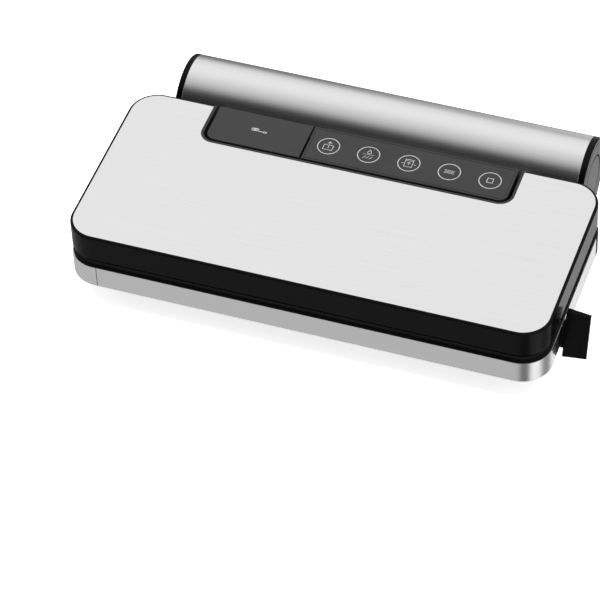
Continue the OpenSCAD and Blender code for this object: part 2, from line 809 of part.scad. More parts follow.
module key_1() key_cap(0);
module key_2() if (key_n > 1) key_cap(1);
module key_3() if (key_n > 2) key_cap(2);
module key_4() if (key_n > 3) key_cap(3);
module key_5() if (key_n > 4) key_cap(4);
module key_ring_1() key_ring(0);
module key_ring_2() if (key_n > 1) key_ring(1);
module key_ring_3() if (key_n > 2) key_ring(2);
module key_ring_4() if (key_n > 3) key_ring(3);
module key_ring_5() if (key_n > 4) key_ring(4);

flap_rib_h = 2;
flap_rib_t = 1.2;

module tube_flap() placed() color(panel_grey) difference() {
    union() {
        translate([0, 0, top_z - panel_t + fit_gap]) linear_extrude(panel_t - fit_gap) intersection() {
            island_plan(0);
            translate([-panel_w, 0]) square([panel_w + seam_at, body_d]);
        }
        for (x = flap_ears, s = [-1, 1]) {
            knuckle = x + s * (flap_ear_w / 2 + fit_gap + flap_knuckle_w / 2);
            x_rod(flap_ear_r, knuckle - flap_knuckle_w / 2, knuckle + flap_knuckle_w / 2, flap_axis_y, flap_axis_z);
            mid_block(knuckle, flap_axis_y, flap_knuckle_w, 2 * flap_ear_r, flap_axis_z, top_z - over);
        }
        // Stiffening rib inside the compartment's front
        block(-panel_w / 2 + 12, seam_at - 12, panel_y + 8, panel_y + 8 + flap_rib_t,
            top_z - panel_t - flap_rib_h, top_z - over);
    }
    for (x = flap_ears) x_rod(flap_pin_r + run_gap, x - 2 * flap_ear_w, x + 2 * flap_ear_w, flap_axis_y, flap_axis_z);
}

module flap_pins() placed() color(steel) for (x = flap_ears)
    x_rod(flap_pin_r, x - flap_ear_w / 2 - flap_knuckle_w - fit_gap, x + flap_ear_w / 2 + flap_knuckle_w + fit_gap,
        flap_axis_y, flap_axis_z);

// ---- Lid ----

module plate_plan(grow) difference() {
    lid_plan(bezel - grow);
    notch_plan(bezel - grow);
}

module lid_block() translate([0, lid_d / 2, lid_z]) soft_slab(lid_w, lid_d, lid_r, lid_h - rim_drop, lid_edge_r);

module plate_seat() translate([0, 0, top_z - plate_t]) linear_extrude(plate_t + over) plate_plan(fit_gap);

module lid_shell() placed() color(black) difference() {
    union() {
        difference() {
            lid_block();
            difference() {
                translate([0, 0, lid_z - over]) linear_extrude(roof_z - lid_z + over) lid_plan(wall);
                translate([0, 0, lid_z - 2 * over]) linear_extrude(lid_h) trim_seat(wall);
            }
        }
        for (p = lid_screw_spots) z_rod(base_boss_r - 0.3, p[0], p[1], liner_z + liner_t, roof_z + eps);
        // Knuckles on both sides of each hinge post
        for (s = [-1, 1], t = [-1, 1]) {
            x = s * post_x + t * (post_w / 2 + fit_gap + ear_w / 2);
            x_rod(ear_r, x - ear_w / 2, x + ear_w / 2, hinge_y, hinge_z);
            mid_block(x, hinge_y, ear_w, 2 * ear_r, hinge_z, roof_z + eps);
        }
    }
    translate([0, 0, lid_z - 2 * over]) linear_extrude(lid_h + 4 * over) trim_seat(0);
    plate_seat();
    for (p = lid_screw_spots) z_rod(screw_r - 0.1, p[0], p[1], liner_z, liner_z + lid_screw_l + 5);
    for (s = [-1, 1]) {
        x_rod(hinge_pin_r + run_gap, s * post_x - post_w / 2 - ear_w - over, s * post_x + post_w / 2 + ear_w + over,
            hinge_y, hinge_z);
        block(s * post_x - post_w / 2 - fit_gap, s * post_x + post_w / 2 + fit_gap,
            hinge_y - ear_r - 2, lid_d + over, lid_z - over, roof_z - fit_gap);
    }
}

// Trim that lines the notch and reaches a little under the plate's edge
module notch_trim() placed() color(black) difference() {
    intersection() {
        lid_block();
        translate([0, 0, lid_z - over]) linear_extrude(lid_h + 2 * over) trim_seat(0);
    }
    translate([0, 0, lid_z - 2 * over]) linear_extrude(lid_h + 4 * over) notch_plan(0);
    plate_seat();
}

module lid_plate() placed() color(steel) translate([0, 0, top_z - plate_t]) linear_extrude(plate_t) plate_plan(0);

liner_back = notch_y - trim_w - wall - soft_gap;

module lid_liner() placed() color(black) difference() {
    union() {
        translate([0, 0, liner_z]) linear_extrude(liner_t) intersection() {
            lid_plan(wall + soft_gap);
            translate([-body_w, 0]) square([2 * body_w, liner_back]);
        }
        // Raised bed of the gasket
        translate([0, 0, liner_z + liner_t - eps]) linear_extrude(channel_skin) gasket_plan(channel_skin);
    }
    translate([0, 0, liner_z - over]) linear_extrude(over + gasket_rise) gasket_plan(0);
    mid_block(0, seal_y, seal_l + 2 * fit_gap, seal_w, liner_z - over, liner_z + seal_sink);
    for (x = [-hook_x, hook_x])
        mid_block(x, lock_y, hook_t + 10, 2 * (hook_reach + over), 0, top_z);
    for (p = lid_screw_spots) z_rod(screw_r + soft_gap, p[0], p[1], liner_z - over, top_z - lid_h / 2);
}

module lid_screws() placed() color(steel) for (p = lid_screw_spots)
    translate([p[0], p[1], liner_z - screw_head_t]) screw(screw_r - 0.1, screw_head_r - 0.2, lid_screw_l);

module upper_gasket() placed() color(rubber_grey)
    translate([0, 0, deck_z + gasket_rise + soft_gap]) linear_extrude(liner_z - deck_z - soft_gap) gasket_plan(-0.1);

press_low = liner_z - deck_z - seal_rise - strip_t - soft_gap;

module press_strip() placed() color(press_red)
    x_extrude(-seal_l / 2, seal_l / 2)
        polygon([for (p = [[-1, press_h], [1, press_h], [1, 0], [0.55, 0], [0.4, -press_low], [-0.4, -press_low], [-0.55, 0], [-1, 0]])
            [seal_y + p[0] * (seal_w / 2 - fit_gap / 2), liner_z + p[1]]]);

module strikers() placed() color(steel) for (x = [-hook_x, hook_x]) {
    reach = hook_t / 2 + striker_t;
    for (s = [-1, 1]) mid_block(x + s * reach, lock_y + striker_back, striker_t, striker_w,
        lock_z + striker_up - striker_r - 0.9, roof_z);
    x_rod(striker_r, x - reach - striker_t / 2, x + reach + striker_t / 2, lock_y + striker_back, lock_z + striker_up);
}

// ---- Lock knob, shaft and hooks ----

// Cross section of the knob's wing, a thin slice that leans with it
module wing_slice(x, t, bevel, drop) x_extrude(x, x + eps)
    polygon([[-t / 2, -wing_l / 2 - drop], [-t / 2, wing_l / 2], [t / 2, wing_l / 2 + bevel],
        [t / 2, -wing_l / 2 - bevel - drop]]);

module lock_knob() placed() color(black) {
    x_rod(hub_r, body_w / 2 + knob_gap, body_w / 2 + knob_gap + hub_t, lock_y, lock_z);
    translate([body_w / 2, lock_y, lock_z]) rotate([-wing_lean, 0, 0]) hull() {
        translate([0, wing_back, 0]) wing_slice(wing_from, wing_t, wing_bevel, wing_drop);
        translate([0, wing_back - (wing_t - wing_tip_t) / 2, 0])
            wing_slice(wing_from + wing_out - eps, wing_tip_t, wing_tip_bevel, 0);
    }
}

module lock_shaft() placed() color(steel)
    x_rod(shaft_r, -hook_x - 11, body_w / 2 + knob_gap, lock_y, lock_z);

module lock_hooks() placed() color(steel) for (x = [-hook_x, hook_x]) difference() {
    translate([0, lock_y, lock_z]) x_extrude(x - hook_t / 2, x + hook_t / 2) {
        circle(hook_hub_r);
        intersection() {
            ring_sector(hook_reach, shaft_r, hook_from, hook_stem_from + 1);
            rotate(hook_flat) translate([finger_r, -hook_reach]) square([finger_t, 2 * hook_reach]);
        }
        ring_sector(hook_reach, shaft_r, hook_stem_from, hook_to);
    }
    x_rod(shaft_r, x - hook_t, x + hook_t, lock_y, lock_z);
}

// ---- Roll box ----

module roll_frame() translate([0, roll_y, roll_z]) children();

module roll_cradle() placed() color(black) difference() {
    union() {
        roll_frame() x_extrude(roll_x0, roll_x1) ring_sector(cradle_ro, cradle_ri, cradle_from, cradle_to);
        // Bridge to the back of the base, open between its ribs
        difference() {
            x_extrude(-bridge_l / 2, bridge_l / 2) polygon([[base_back, bridge_low], [base_back, bridge_top],
                [base_back + bridge_t, bridge_top], [base_back + bridge_t, bridge_mid],
                [roll_y - 20, bridge_mid], [roll_y - 8, bridge_low]]);
            for (i = [0 : bridge_cells - 1]) {
                pitch = (bridge_l - bridge_rib) / bridge_cells;
                x = -bridge_l / 2 + bridge_rib + i * pitch;
                block(x, x + pitch - bridge_rib, base_back + wall, roll_y - 10, 0, bridge_mid - wall);
            }
            roll_frame() x_rod(cradle_ro - over, -body_w / 2, body_w / 2, 0, 0);
        }
    }
    block(-body_w / 2, body_w / 2, base_back, roll_y, cradle_front_z, top_z);
}

module roll_cap(x, side) translate([x, roll_y, roll_z]) rotate([0, side * 90, 0]) difference() {
    union() {
        rotate_extrude($fn = round_fn) polygon([[0, 0], [roll_r, 0], [roll_r, cap_t - cap_edge],
            [roll_r - cap_edge, cap_t], [cap_groove_r + groove_w, cap_t], [cap_groove_r, cap_t - groove_w],
            [cap_groove_r - groove_w, cap_t], [0, cap_t]]);
        translate([0, 0, -spigot_l]) cylinder(r = spigot_r, h = spigot_l + eps, $fn = round_fn);
    }
    translate([0, 0, -spigot_l - over]) cylinder(r = cradle_ri, h = spigot_l + over, $fn = round_fn);
    translate([0, 0, cap_t - cap_sink]) cylinder(r = cap_disc_r, h = 2 * cap_sink, $fn = round_fn);
}

// A cap's spigot has a seat for the cradle's end
module cradle_seat() roll_frame() x_extrude(roll_x0 - eps, roll_x1 + eps)
    ring_sector(cradle_ro, cradle_ri - fit_gap, cradle_from - cradle_fit, cradle_to + cradle_fit);

module roll_cap_left() placed() color(black) difference() {
    roll_cap(roll_x0, -1);
    cradle_seat();
}
module roll_cap_right() placed() color(black) difference() {
    roll_cap(roll_x1, 1);
    cradle_seat();
}

disc_gap = 1.1;
disc_edge = 0.3;

module cap_discs() placed() color(panel_grey) for (s = [-1, 1])
    translate([s > 0 ? roll_x1 : roll_x0, roll_y, roll_z]) rotate([0, s * 90, 0])
        translate([0, 0, cap_t - cap_sink]) rotate_extrude($fn = round_fn)
            polygon([[0, 0], [cap_disc_r - disc_gap, 0], [cap_disc_r - disc_gap, cap_sink - disc_edge],
                [cap_disc_r - disc_gap - disc_edge, cap_sink], [0, cap_sink]]);

module roll_cover() placed() color(steel) roll_frame()
    x_extrude(roll_x0 + slip_gap, roll_x1 - slip_gap) ring_sector(roll_r, liner_ro, cover_back, cover_front);

module cover_liner() placed() color(black) roll_frame()
    x_extrude(roll_x0 + slip_gap, roll_x1 - slip_gap) ring_sector(liner_ro, liner_ri, cover_back, cover_front);

module cutter_rail() placed() color(black) difference() {
    mid_block(roll_x, rail_y, rail_l, rail_w, cradle_front_z, cradle_front_z + rail_h);
    mid_block(roll_x, rail_y, rail_l - 2 * rail_end, rail_slot_w,
        cradle_front_z + rail_floor, cradle_front_z + rail_h + over);
}

module cutter_slider() placed() color(panel_grey) difference() {
    union() {
        block(slider_x, slider_x + slider_l, rail_y - rail_w / 2, rail_y + rail_w / 2,
            cradle_front_z + rail_h + slip_gap, cradle_front_z + rail_h + slip_gap + slider_h);
        block(slider_x + over, slider_x + slider_l - over, rail_y - rail_slot_w / 2 + run_gap,
            rail_y + rail_slot_w / 2 - run_gap, cradle_front_z + rail_floor + 2 * slip_gap, cradle_front_z + rail_h + over);
    }
    block(slider_x + (slider_l - blade_w) / 2, slider_x + (slider_l + blade_w) / 2,
        rail_y - blade_t / 2, rail_y + blade_t / 2, cradle_front_z, top_z);
}

module cutter_blade() placed() color(steel)
    translate([slider_x + (slider_l - blade_w) / 2, rail_y + blade_t / 2, cradle_front_z + rail_h + 2 * slip_gap])
        rotate([90, 0, 0]) linear_extrude(blade_t)
            polygon([[0, 0], [blade_w, 0], [blade_w, blade_h / 2], [blade_w / 2, blade_h], [0, blade_h / 2]]);

base_housing();
base_band();
base_band_left();
bottom_pan();
feet();
base_screws();
lock_plate();
drip_tray();
lower_gasket();
sealing_bar();
heating_strip();
suction_port();
panel_housing();
control_panel();
control_board();
key_switches();
vacuum_pump();
pump_motor();
pump_hose();
power_board();
transformer();
hinge_posts();
hinge_pins();
shaft_bearings();
tube_port();
flap_pins();
cord_bushing();
roll_cradle();
roll_cap_left();
roll_cap_right();
cap_discs();
cutter_rail();
lid_shell();
notch_trim();
lid_plate();
lid_liner();
lid_screws();
upper_gasket();
press_strip();
strikers();
lock_knob();
lock_shaft();
lock_hooks();
tube_flap();
key_1();
key_2();
key_3();
key_4();
key_5();
key_ring_1();
key_ring_2();
key_ring_3();
key_ring_4();
key_ring_5();
roll_cover();
cover_liner();
cutter_slider();
cutter_blade();
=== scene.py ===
"""Looks of the vacuum sealer: materials, printed marks, stage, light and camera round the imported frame."""
import json
import math

import bmesh
import bpy
from mathutils import Matrix, Vector


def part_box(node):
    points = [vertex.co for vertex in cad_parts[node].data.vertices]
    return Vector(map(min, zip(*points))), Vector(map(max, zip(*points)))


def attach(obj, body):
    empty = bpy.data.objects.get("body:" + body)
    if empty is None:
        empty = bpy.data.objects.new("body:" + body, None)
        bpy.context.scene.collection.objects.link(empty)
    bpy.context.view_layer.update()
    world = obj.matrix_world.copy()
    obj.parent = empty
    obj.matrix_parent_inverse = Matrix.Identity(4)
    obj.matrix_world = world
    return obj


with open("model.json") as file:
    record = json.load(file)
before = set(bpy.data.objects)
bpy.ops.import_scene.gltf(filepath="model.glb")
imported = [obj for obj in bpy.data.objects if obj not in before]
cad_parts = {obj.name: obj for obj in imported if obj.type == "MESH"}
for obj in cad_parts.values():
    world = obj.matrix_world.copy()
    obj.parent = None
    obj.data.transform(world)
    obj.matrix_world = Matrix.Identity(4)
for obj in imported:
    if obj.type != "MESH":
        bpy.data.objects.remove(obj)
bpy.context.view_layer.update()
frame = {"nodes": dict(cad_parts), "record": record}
nodes = frame["nodes"]
MM = 0.001

# ---------------------------------------------------------------- camera
CAMERA_AZIMUTH = math.radians(21.17)
CAMERA_ELEVATION = math.radians(46.22)
CAMERA_ROLL = math.radians(-2.90)
CAMERA_DISTANCE = 2.49
LENS_MM = 203.0
SENSOR_MM = 36.0
CLIP_NEAR = 0.1
CLIP_FAR = 20

# The picture's middle, seen from the middle of the steel plate's front edge
CAMERA_RIGHT = 0.00075
CAMERA_UP = -0.0124

plate_low, plate_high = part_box("lid_plate")
PLATE_FRONT = Vector(((plate_low.x + plate_high.x) / 2, plate_low.y, plate_high.z))


def make_camera():
    """A long lens that looks just below the middle of the steel plate's front edge."""
    azimuth, elevation, roll = CAMERA_AZIMUTH, CAMERA_ELEVATION, CAMERA_ROLL
    back = Vector((math.sin(azimuth) * math.cos(elevation),
                   -math.cos(azimuth) * math.cos(elevation),
                   math.sin(elevation)))
    level_right = (-back).cross(Vector((0, 0, 1))).normalized()
    level_up = level_right.cross(-back)
    right = math.cos(roll) * level_right + math.sin(roll) * level_up
    up = math.cos(roll) * level_up - math.sin(roll) * level_right
    data = bpy.data.cameras.new("camera")
    data.lens = LENS_MM
    data.sensor_width = SENSOR_MM
    data.clip_start = CLIP_NEAR
    data.clip_end = CLIP_FAR
    camera = bpy.data.objects.new("camera", data)
    bpy.context.scene.collection.objects.link(camera)
    place = PLATE_FRONT + CAMERA_RIGHT * right + CAMERA_UP * up + CAMERA_DISTANCE * back
    axes = Matrix((right, up, back)).transposed().to_4x4()
    camera.matrix_world = Matrix.Translation(place) @ axes
    bpy.context.scene.camera = camera


# ---------------------------------------------------------------- node tools
EDGE_SAMPLES = 4


class Shader:
    """A material with its node tree and a few short ways to add nodes."""

    def __init__(self, name):
        self.material = bpy.data.materials.new(name)
        self.material.use_nodes = True
        self.tree = self.material.node_tree
        self.bsdf = self.tree.nodes["Principled BSDF"]
        self.coords = self.add("ShaderNodeTexCoord").outputs["Object"]

    def add(self, kind, **values):
        """A new node with some of its settings."""
        node = self.tree.nodes.new(kind)
        for name, value in values.items():
            setattr(node, name, value)
        return node

    def link(self, source, target):
        self.tree.links.new(source, target)

    def scaled(self, scale):
        """Object coordinates, scaled along each axis."""
        mapping = self.add("ShaderNodeMapping")
        mapping.inputs["Scale"].default_value = scale
        self.link(self.coords, mapping.inputs["Vector"])
        return mapping.outputs["Vector"]

    def noise(self, scale, detail, rough=0.5, stretch=(1, 1, 1)):
        """Cloudy noise from 0 to 1."""
        node = self.add("ShaderNodeTexNoise")
        node.inputs["Scale"].default_value = scale
        node.inputs["Detail"].default_value = detail
        node.inputs["Roughness"].default_value = rough
        self.link(self.scaled(stretch), node.inputs["Vector"])
        return node.outputs["Fac"]

    def span(self, source, low, high):
        """Maps a value from 0..1 onto low..high."""
        node = self.add("ShaderNodeMapRange")
        node.inputs["To Min"].default_value = low
        node.inputs["To Max"].default_value = high
        self.link(source, node.inputs["Value"])
        return node.outputs["Result"]

    def tint(self, source, low, high, start=0.3, end=0.7):
        """Blends from colour low to colour high as a value goes from start to end."""
        ramp = self.add("ShaderNodeValToRGB")
        ramp.color_ramp.elements[0].position = start
        ramp.color_ramp.elements[0].color = (*low, 1)
        ramp.color_ramp.elements[1].position = end
        ramp.color_ramp.elements[1].color = (*high, 1)
        self.link(source, ramp.inputs["Fac"])
        return ramp.outputs["Color"]

    def bump(self, height, strength, distance, normal=None):
        """Surface normals bent by a height, on top of other normals if there are any."""
        node = self.add("ShaderNodeBump")
        node.inputs["Strength"].default_value = strength
        node.inputs["Distance"].default_value = distance
        self.link(height, node.inputs["Height"])
        if normal:
            self.link(normal, node.inputs["Normal"])
        return node.outputs["Normal"]

    def round_edges(self, radius):
        """Surface normals that make sharp edges look rounded."""
        node = self.add("ShaderNodeBevel", samples=EDGE_SAMPLES)
        node.inputs["Radius"].default_value = radius
        return node.outputs["Normal"]

    def set(self, **values):
        """Sets the shader's own sockets; an underscore stands for a space."""
        for name, value in values.items():
            self.bsdf.inputs[name.replace("_", " ")].default_value = value

    def drive(self, name, source):
        """Links a socket of the shader."""
        self.link(source, self.bsdf.inputs[name])


# ---------------------------------------------------------------- materials
def grey(level):
    """Grey with a trace of blue."""
    return (level, level, level * 1.01)


def even(level):
    """Pure grey."""
    return (level,) * 3


def moulded_plastic(name, level, roughness, grain=0.35, edge=0.4, ior=1.45):
    """Injection-moulded plastic: fine spark-eroded grain, faint tone changes and softened edges."""
    skin = Shader(name)
    skin.set(IOR=ior)
    cloud = skin.noise(scale=22, detail=4)
    skin.drive("Base Color", skin.tint(cloud, grey(level * 0.88), grey(level * 1.12)))
    sheen = skin.noise(scale=160, detail=3)
    skin.drive("Roughness", skin.span(sheen, roughness - 0.04, roughness + 0.06))
    edges = skin.round_edges(edge * MM)
    sparks = skin.noise(scale=1500, detail=2)
    skin.drive("Normal", skin.bump(sparks, grain, 0.02 * MM, edges))
    return skin.material


# Stretches noise into hairlines along X
ALONG_X = (0.012, 1, 1)


def brushed_steel(name, level, roughness):
    """Steel sheet with short hairlines along X."""
    skin = Shader(name)
    skin.set(Metallic=1.0)
    strands = skin.noise(scale=900, detail=4, rough=0.7, stretch=ALONG_X)
    strand_colours = (grey(level * 0.978), grey(level * 1.012))
    skin.drive("Base Color", skin.tint(strands, *strand_colours, start=0.35, end=0.65))
    cloud = skin.noise(scale=9, detail=2)
    skin.drive("Roughness", skin.span(cloud, roughness - 0.03, roughness + 0.03))
    hairlines = skin.noise(scale=3600, detail=3, rough=0.6, stretch=ALONG_X)
    edges = skin.round_edges(0.25 * MM)
    skin.drive("Normal", skin.bump(hairlines, 0.12, 0.01 * MM, edges))
    return skin.material


def bright_steel(name, level=0.6, roughness=0.25):
    """Plain metal for pins, screws, the motor and, darker and rougher, the transformer's iron."""
    skin = Shader(name)
    skin.set(Metallic=1.0)
    cloud = skin.noise(scale=60, detail=3)
    skin.drive("Base Color", skin.tint(cloud, grey(level * 0.85), grey(level * 1.1)))
    wear = skin.noise(scale=400, detail=3)
    skin.drive("Roughness", skin.span(wear, roughness - 0.05, roughness + 0.1))
    grain = skin.noise(scale=900, detail=2)
    skin.drive("Normal", skin.bump(grain, 0.15, 0.01 * MM, skin.round_edges(0.2 * MM)))
    return skin.material


def soft_rubber(name, colour, roughness=0.6):
    """Matt rubber or silicone with a dusty, slightly uneven skin."""
    skin = Shader(name)
    skin.set(Specular_IOR_Level=0.35)
    low = tuple(part * 0.8 for part in colour)
    high = tuple(part * 1.25 for part in colour)
    skin.drive("Base Color", skin.tint(skin.noise(scale=70, detail=4), low, high))
    dust = skin.noise(scale=300, detail=3)
    skin.drive("Roughness", skin.span(dust, roughness - 0.06, roughness + 0.1))
    grain = skin.noise(scale=1100, detail=3)
    skin.drive("Normal", skin.bump(grain, 0.5, 0.03 * MM, skin.round_edges(0.3 * MM)))
    return skin.material


def foam(name):
    """Closed-cell foam: small open pits all over, painted darker towards the bottom of each pit as shade."""
    skin = Shader(name)
    skin.set(Specular_IOR_Level=0.25)
    cells = skin.add("ShaderNodeTexVoronoi")
    cells.inputs["Scale"].default_value = 1500
    skin.link(skin.coords, cells.inputs["Vector"])
    pit_depth_and_shade = cells.outputs["Distance"]
    # Painted shade: the colour darkens towards the bottom of each pit
    skin.drive("Base Color", skin.tint(pit_depth_and_shade, even(0.03), even(0.1), start=0.1, end=0.7))
    skin.drive("Roughness", skin.span(pit_depth_and_shade, 0.95, 0.75))
    skin.drive("Normal", skin.bump(pit_depth_and_shade, 0.7, 0.2 * MM))
    return skin.material


def woven_tape(name):
    """Non-stick glass cloth tape over the heating wire."""
    skin = Shader(name)
    waves = []
    for axis in ("X", "Y"):
        wave = skin.add("ShaderNodeTexWave", bands_direction=axis)
        wave.inputs["Scale"].default_value = 420
        wave.inputs["Distortion"].default_value = 0.4
        skin.link(skin.coords, wave.inputs["Vector"])
        waves.append(wave.outputs["Fac"])
    product = skin.add("ShaderNodeMath", operation="MULTIPLY")
    skin.link(waves[0], product.inputs[0])
    skin.link(waves[1], product.inputs[1])
    weave = product.outputs[0]
    skin.drive("Base Color", skin.tint(weave, (0.16, 0.09, 0.05), (0.34, 0.21, 0.12), start=0.1, end=0.8))
    skin.drive("Roughness", skin.span(weave, 0.55, 0.38))
    skin.drive("Normal", skin.bump(weave, 0.5, 0.08 * MM))
    return skin.material


def light_guide(name):
    """Whitish translucent ring set into a key."""
    skin = Shader(name)
    skin.set(Specular_IOR_Level=0.5, Subsurface_Weight=0.15)
    skin.drive("Base Color", skin.tint(skin.noise(scale=300, detail=2), even(0.44), even(0.5)))
    skin.drive("Roughness", skin.span(skin.noise(scale=500, detail=2), 0.32, 0.42))
    skin.drive("Normal", skin.bump(skin.noise(scale=900, detail=2), 0.1, 0.01 * MM))
    return skin.material


def circuit_board(name):
    """Green solder mask in blocks, with paler green lines between them."""
    skin = Shader(name)
    blocks = skin.add("ShaderNodeTexBrick")
    blocks.inputs["Scale"].default_value = 180
    blocks.inputs["Color1"].default_value = (0.012, 0.10, 0.035, 1)
    blocks.inputs["Color2"].default_value = (0.018, 0.13, 0.05, 1)
    blocks.inputs["Mortar"].default_value = (0.03, 0.2, 0.08, 1)
    skin.link(skin.coords, blocks.inputs["Vector"])
    skin.drive("Base Color", blocks.outputs["Color"])
    skin.drive("Roughness", skin.span(skin.noise(scale=200, detail=2), 0.3, 0.42))
    skin.drive("Normal", skin.bump(blocks.outputs["Fac"], 0.3, 0.04 * MM))
    return skin.material


# One for each slot of the record, and three more: two special skins and the print of the marks
MATERIALS = {
    "black_plastic": moulded_plastic(
        "black_plastic", level=0.0025, roughness=0.24, grain=0.3, edge=0.45, ior=1.18),
    # Painted brightening: the inner black mouldings get a lighter black than the casing, standing in for
    # light that doesn't reach inside
    "matt_plastic_painted_brighter": moulded_plastic(
        "matt_plastic_painted_brighter", level=0.009, roughness=0.5, grain=0.5, edge=0.4, ior=1.35),
    "trim_plastic": moulded_plastic(
        "trim_plastic", level=0.02, roughness=0.4, grain=0.2, edge=0.3, ior=1.4),
    "panel_plastic": moulded_plastic(
        "panel_plastic", level=0.025, roughness=0.34, grain=0.15, edge=0.3, ior=1.4),
    "brushed_steel": brushed_steel("brushed_steel", level=0.9, roughness=0.26),
    "zinc_steel": bright_steel("zinc_steel"),
    "rubber": soft_rubber("rubber", colour=(0.02, 0.02, 0.021)),
    "foam": foam("foam"),
    "silicone": soft_rubber("silicone", colour=(0.075, 0.072, 0.07), roughness=0.5),
    "heater_tape": woven_tape("heater_tape"),
    "grey_plastic": moulded_plastic("grey_plastic", level=0.10, roughness=0.42),
    "circuit_board": circuit_board("circuit_board"),
    "transformer_iron": bright_steel("transformer_iron", level=0.22, roughness=0.45),
    "white_light_guide": light_guide("white_light_guide"),
    "print": moulded_plastic("print", level=0.56, roughness=0.5, grain=0.1, edge=0.02),
}

# These black mouldings have a matt, textured skin instead of the casing's gloss, and a painted brightening:
# a lighter black than the casing's, so that the dark inside shows
MATT_BRIGHTENED_NODES = ("base_housing", "bottom_pan", "lock_plate", "sealing_bar", "panel_housing", "hinge_posts",
              "shaft_bearings", "roll_cradle", "cutter_rail", "lid_liner", "cover_liner")
SPECIAL_SKINS = {"notch_trim": "trim_plastic"} | {node: "matt_plastic_painted_brighter" for node in MATT_BRIGHTENED_NODES}


def dress_nodes():
    """Gives each CAD node the material of its slot, or the special skin of a black moulding."""
    for part in frame["record"]["subparts"]:
        mesh = nodes[part["node"]].data
        mesh.materials.clear()
        mesh.materials.append(MATERIALS[SPECIAL_SKINS.get(part["node"], part["material_slot"])])


# ---------------------------------------------------------------- printed marks
# Widths and points of the marks are in millimetres
MARK_LINE = 0.36
KEY_MARK_SCALE = 1.15

# How far a mark sinks into its surface and stands above it, and the step from one ribbon to the next
MARK_LIFT = 0.02 * MM
MARK_LAYER = 0.004 * MM

# The flap's mark lies a little off the flap's middle
FLAP_MARK_RIGHT = -0.6 * MM
FLAP_MARK_BACK = 1.5 * MM

# Ends closer than this close a ribbon on itself
SAME_POINT = 1e-6

# Keeps a sharp corner's mitre from growing long
MITRE_LIMIT = 0.4


def arc_points(centre, radius, start, end, steps):
    """Points on an arc in millimetres, angles in degrees."""
    turns = [math.radians(start + (end - start) * i / steps) for i in range(steps + 1)]
    return [(centre[0] + radius * math.cos(turn), centre[1] + radius * math.sin(turn)) for turn in turns]


def mitred(points, width):
    """The two edges of a ribbon along points, and whether it closes on itself."""
    closed = (Vector(points[0]) - Vector(points[-1])).length < SAME_POINT
    core = [Vector(point) for point in (points[:-1] if closed else points)]
    count = len(core)
    edges = []
    for i, here in enumerate(core):
        into = here - core[i - 1] if i or closed else core[1] - here
        onward = core[(i + 1) % count] - here if i + 1 < count or closed else into
        into, onward = into.normalized(), onward.normalized()
        along = (into + onward).normalized()
        reach = width / 2 / max(along.dot(into), MITRE_LIMIT)
        side = Vector((-along.y, along.x)) * reach
        edges.append((here + side, here - side))
    return edges, closed


class Mark:
    """A thin raised print made of ribbons; their points are measured from its centre."""

    def __init__(self, name, centre, top, scale=1.0):
        self.name = name
        self.centre = Vector((centre[0], centre[1], top))
        self.scale = scale
        self.layer = 0
        self.form = bmesh.new()

    def line(self, points, width=MARK_LINE):
        """A ribbon with mitred corners; each one lies a hair above the one before."""
        self.layer += 1
        top = MARK_LIFT + self.layer * MARK_LAYER
        edges, closed = mitred([(x * self.scale, y * self.scale) for x, y in points], width)
        rings = []
        for left, right in edges:
            corners = ((left, top), (right, top), (right, -MARK_LIFT), (left, -MARK_LIFT))
            rings.append([self.form.verts.new(self.centre + Vector((point.x * MM, point.y * MM, z)))
                          for point, z in corners])
        pairs = list(zip(rings, rings[1:] + rings[:1])) if closed else list(zip(rings, rings[1:]))
        for one, two in pairs:
            for corner in range(4):
                following = (corner + 1) % 4
                self.form.faces.new((one[corner], one[following], two[following], two[corner]))
        if not closed:
            self.form.faces.new(rings[0])
            self.form.faces.new(rings[-1][::-1])

    def finish(self, body):
        """Makes the mark a piece that rides on a body."""
        bmesh.ops.recalc_face_normals(self.form, faces=self.form.faces)
        mesh = bpy.data.meshes.new(self.name)
        self.form.to_mesh(mesh)
        self.form.free()
        mesh.materials.append(MATERIALS["print"])
        piece = bpy.data.objects.new(self.name, mesh)
        bpy.context.scene.collection.objects.link(piece)
        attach(piece, body)


def draw_canister(mark):
    """An open canister with an arrow that points up out of it."""
    mark.line([(-0.9, 1.2), (-3.2, 1.2), (-3.2, -3.4), (3.2, -3.4), (3.2, 1.2), (0.9, 1.2)])
    mark.line([(0, -1.8), (0, 3.9)])
    mark.line([(-1.5, 2.6), (0, 4.3), (1.5, 2.6)])


def draw_moist_or_dry(mark):
    """A drop over a line, with three slanted strokes below it."""
    drop = arc_points((0, 2.1), 1.25, -225, 45, steps=16)
    mark.line([(0, 4.7)] + drop + [(0, 4.7)])
    mark.line([(-4.0, 0), (4.0, 0)], width=0.24)
    for x in (-2.3, 0, 2.3):
        mark.line([(x - 0.8, -3.9), (x + 0.8, -1.5)])


def draw_bag_in(mark):
    """A bag with an arrow inside it and a dash on either side."""
    mark.line([(-2.7, 3.4), (-2.7, -3.4), (2.7, -3.4), (2.7, 3.4), (-2.7, 3.4)])
    mark.line([(-2.7, 2.2), (2.7, 2.2)], width=0.26)
    for side in (-1, 1):
        mark.line([(side * 5.0, -0.6), (side * 3.5, -0.6)])
    mark.line([(0, 0.9), (0, -1.9)], width=0.3)
    mark.line([(-1.2, -0.2), (0, 1.0), (1.2, -0.2)], width=0.3)


def draw_seal_line(mark):
    """Two lines with a zigzag between them."""
    mark.line([(-3.6, 1.2), (3.6, 1.2)])
    mark.line([(-3.6, -1.2), (3.6, -1.2)])
    zigzag = [(-3.2 + 0.8 * i, 0.4 if i % 2 else -0.4) for i in range(9)]
    mark.line(zigzag, width=0.26)


def draw_stop(mark):
    """A square."""
    mark.line([(-2, -2), (2, -2), (2, 2), (-2, 2), (-2, -2)], width=0.42)


